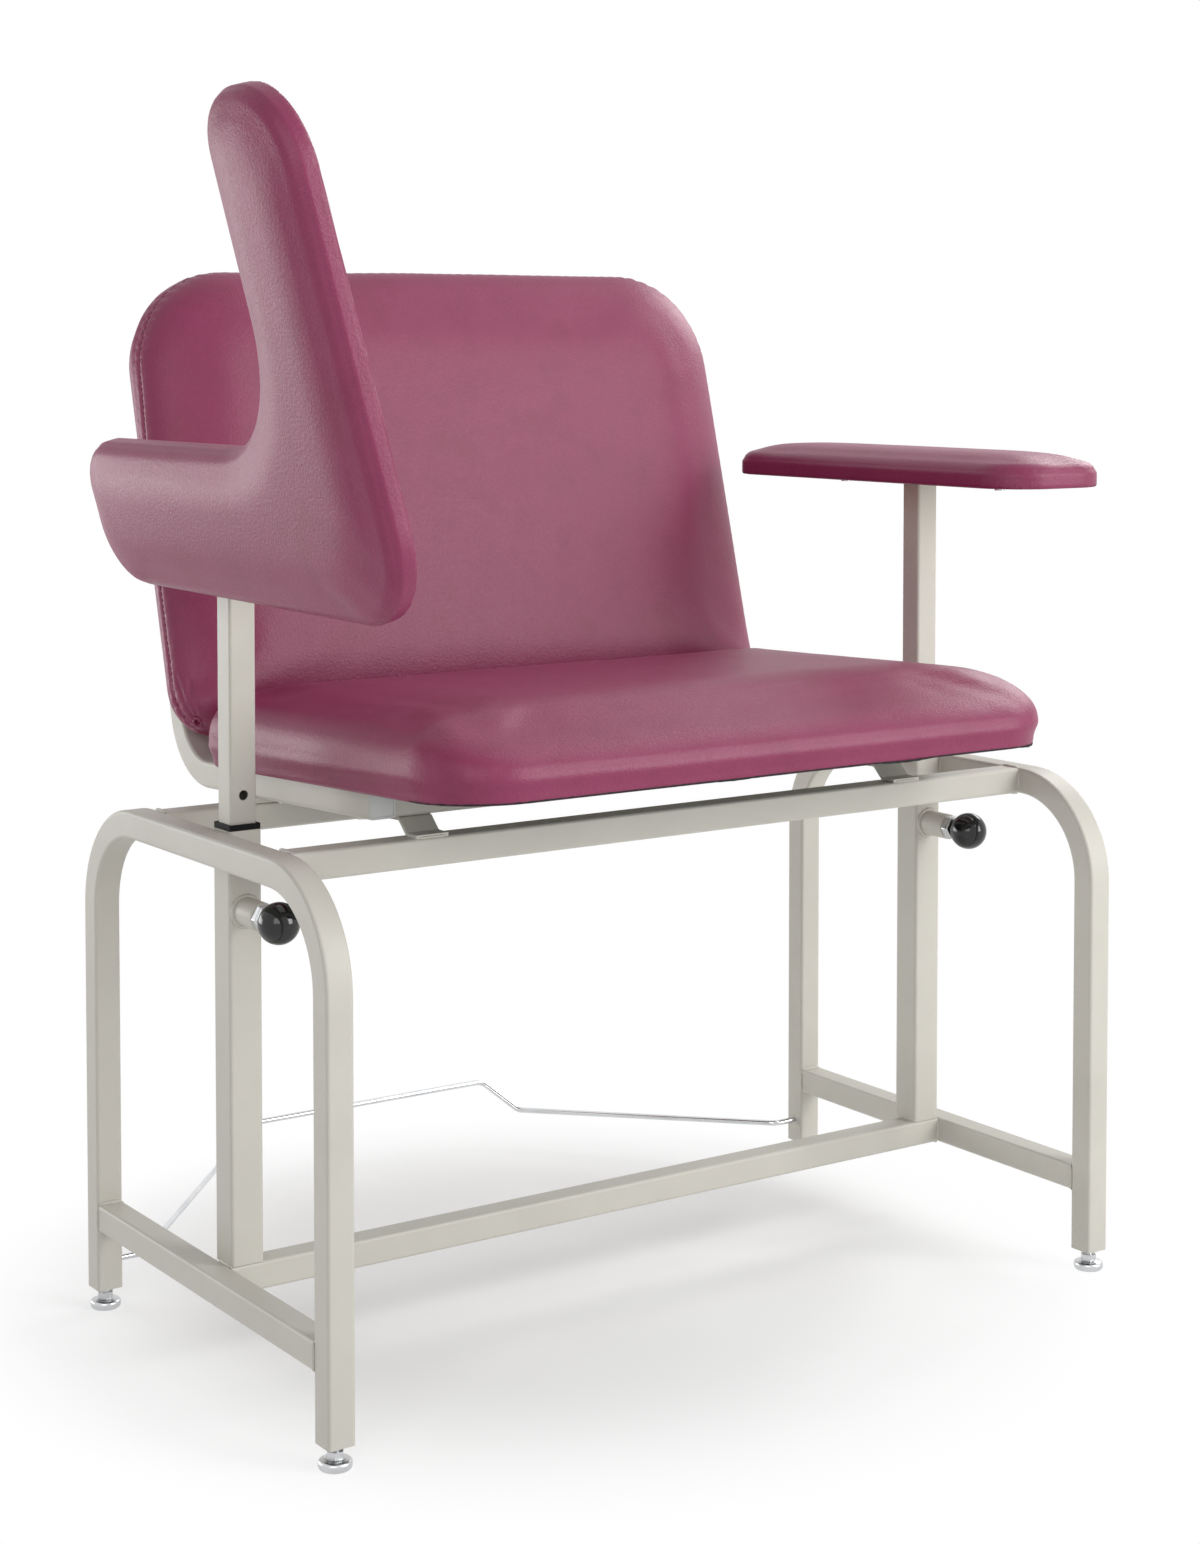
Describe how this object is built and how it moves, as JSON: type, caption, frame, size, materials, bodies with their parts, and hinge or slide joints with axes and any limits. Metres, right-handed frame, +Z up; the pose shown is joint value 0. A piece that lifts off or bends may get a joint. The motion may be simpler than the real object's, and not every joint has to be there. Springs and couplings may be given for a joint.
{
  "type": "phlebotomy chair",
  "caption": "Wide blood-draw chair on a square-tube frame, with padded seat and back, a raised L-shaped flip arm and a fixed side arm on height-adjustable posts.",
  "frame": {"origin": "floor level under the middle of the chair's footprint box, flip arm raised and wall guard down", "axes": "+Z up; -Y is the way the sitter faces; +X is the sitter's left, the side of the fixed arm"},
  "size_m": [1.0113, 0.8628, 1.1052],
  "materials": {
    "frame_paint": "warm light grey powder coat, satin",
    "vinyl": "burgundy upholstery vinyl with a fine grain, soft sheen",
    "plywood": "raw plywood",
    "black_plastic": "moulded black",
    "knob_black": "polished phenolic ball",
    "grey_plastic": "moulded grey",
    "bumper_rubber": "matt black",
    "zinc": "bright zinc plate",
    "guard_chrome": "bright plated wire",
    "black_cloth": "thin woven dust cloth"
  },
  "bodies": {
    "frame": {"side_frame_right": "frame_paint", "side_frame_left": "frame_paint", "side_rail_right": "frame_paint", "side_rail_left": "frame_paint", "crossbar": "frame_paint", "front_rail": "frame_paint", "rear_rail": "frame_paint", "sleeve_right": "frame_paint", "sleeve_left": "frame_paint", "plunger_bosses": "frame_paint", "seat_tube_right": "frame_paint", "seat_tube_left": "frame_paint", "seat_cross_front": "frame_paint", "seat_cross_rear": "frame_paint", "back_cross": "frame_paint", "front_straps": "frame_paint", "rear_mount_plates": "frame_paint", "seat_pad": "vinyl", "back_pad": "vinyl", "seat_board": "plywood", "back_board": "plywood", "post_bushings": "black_plastic", "leg_inserts": "black_plastic", "tube_plugs": "grey_plastic", "plunger_bodies": "zinc", "plunger_spring_right": "zinc", "plunger_spring_left": "zinc", "seat_screws": "zinc", "back_screws": "zinc", "seat_dust_cover": "black_cloth"},
    "plunger_right": {"plunger_pin_right": "zinc", "knob_right": "knob_black"},
    "plunger_left": {"plunger_pin_left": "zinc", "knob_left": "knob_black"},
    "arm_post_right": {"post_right": "frame_paint", "guide_plug_right": "black_plastic", "pivot_bolt": "zinc", "pivot_nut": "zinc"},
    "flip_arm": {"flip_bracket": "frame_paint", "stop_pin": "zinc", "flip_bumper": "bumper_rubber", "flip_board": "plywood", "flip_pad": "vinyl", "flip_screws": "zinc"},
    "arm_post_left": {"post_left": "frame_paint", "guide_plug_left": "black_plastic", "side_arm_bar": "frame_paint", "side_board": "plywood", "side_pad": "vinyl", "side_screws": "zinc"},
    "guard": {"wall_guard": "guard_chrome"},
    "foot_front_right": {"foot_stem_front_right": "zinc", "foot_pad_front_right": "zinc"},
    "foot_front_left": {"foot_stem_front_left": "zinc", "foot_pad_front_left": "zinc"},
    "foot_rear_right": {"foot_stem_rear_right": "zinc", "foot_pad_rear_right": "zinc"},
    "foot_rear_left": {"foot_stem_rear_left": "zinc", "foot_pad_rear_left": "zinc"}
  },
  "joints": [
    {"name": "right_post_lift", "type": "slide", "parent": "frame", "child": "arm_post_right", "axis": [0, 0, 1], "range_m": [-0.1014, 0.1014]},
    {"name": "left_post_lift", "type": "slide", "parent": "frame", "child": "arm_post_left", "axis": [0, 0, 1], "range_m": [-0.1014, 0.1014]},
    {"name": "flip_arm_hinge", "type": "hinge", "parent": "arm_post_right", "child": "flip_arm", "pos_m": [-0.34954, -0.0575, 0.74], "axis": [0, 1, 0], "range_deg": [0, 105]},
    {"name": "wall_guard_hinge", "type": "hinge", "parent": "frame", "child": "guard", "pos_m": [0.04419, 0.1671, 0.044], "axis": [1, 0, 0], "range_deg": [-8, 90]},
    {"name": "right_plunger_pull", "type": "slide", "parent": "frame", "child": "plunger_right", "axis": [0, -1, 0], "range_m": [0, 0.009], "stiffness_N_per_m": 1500, "springref_m": -0.006, "deforming": ["plunger_spring_right"]},
    {"name": "left_plunger_pull", "type": "slide", "parent": "frame", "child": "plunger_left", "axis": [0, -1, 0], "range_m": [0, 0.009], "stiffness_N_per_m": 1500, "springref_m": -0.006, "deforming": ["plunger_spring_left"]},
    {"name": "foot_turn_front_right", "type": "hinge", "parent": "frame", "child": "foot_front_right", "pos_m": [-0.37811, -0.2821, 0.01], "axis": [0, 0, 1], "continuous": true},
    {"name": "foot_turn_front_left", "type": "hinge", "parent": "frame", "child": "foot_front_left", "pos_m": [0.46649, -0.2821, 0.01], "axis": [0, 0, 1], "continuous": true},
    {"name": "foot_turn_rear_right", "type": "hinge", "parent": "frame", "child": "foot_rear_right", "pos_m": [-0.37811, 0.1671, 0.01], "axis": [0, 0, 1], "continuous": true},
    {"name": "foot_turn_rear_left", "type": "hinge", "parent": "frame", "child": "foot_rear_left", "pos_m": [0.46649, 0.1671, 0.01], "axis": [0, 0, 1], "continuous": true}
  ]
}
